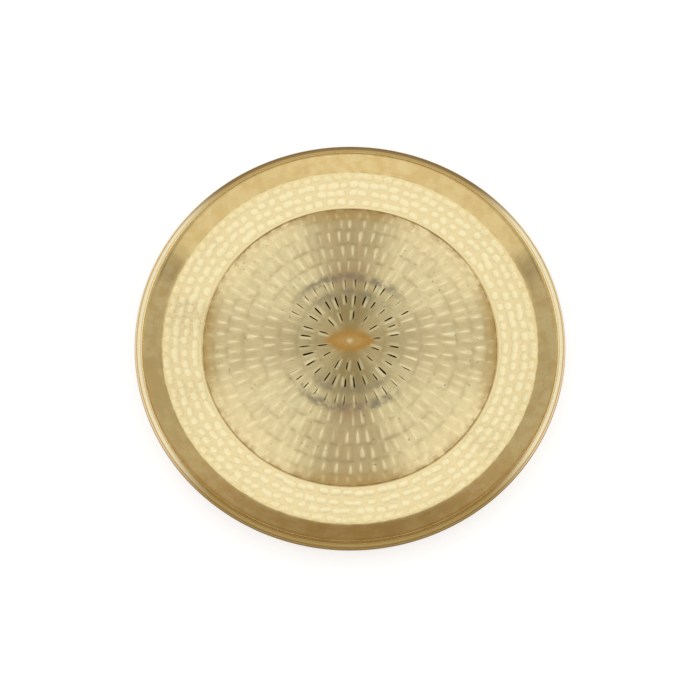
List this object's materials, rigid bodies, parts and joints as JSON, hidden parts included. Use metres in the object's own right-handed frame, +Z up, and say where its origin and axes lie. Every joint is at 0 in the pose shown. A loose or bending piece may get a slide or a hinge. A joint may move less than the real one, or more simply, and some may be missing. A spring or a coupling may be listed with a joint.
{
  "type": "tray",
  "caption": "Shallow round metal tray with a hammered flat floor, a sloping dimpled wall, a plain flared collar and a wired rolled edge.",
  "frame": {"origin": "middle of the underside of the floor, on the surface that the tray stands on", "axes": "+Z up, out of the open side of the tray; the tray is round about Z; the butted ends of the rim wire are at +Y"},
  "size_m": [0.305, 0.305, 0.018],
  "materials": {
    "brass_sheet": "hammered and polished yellow brass, duller underneath",
    "rim_wire_steel": "dull galvanised wire"
  },
  "bodies": {
    "root": {"tray_sheet": "brass_sheet", "rim_wire": "rim_wire_steel"}
  },
  "joints": []
}
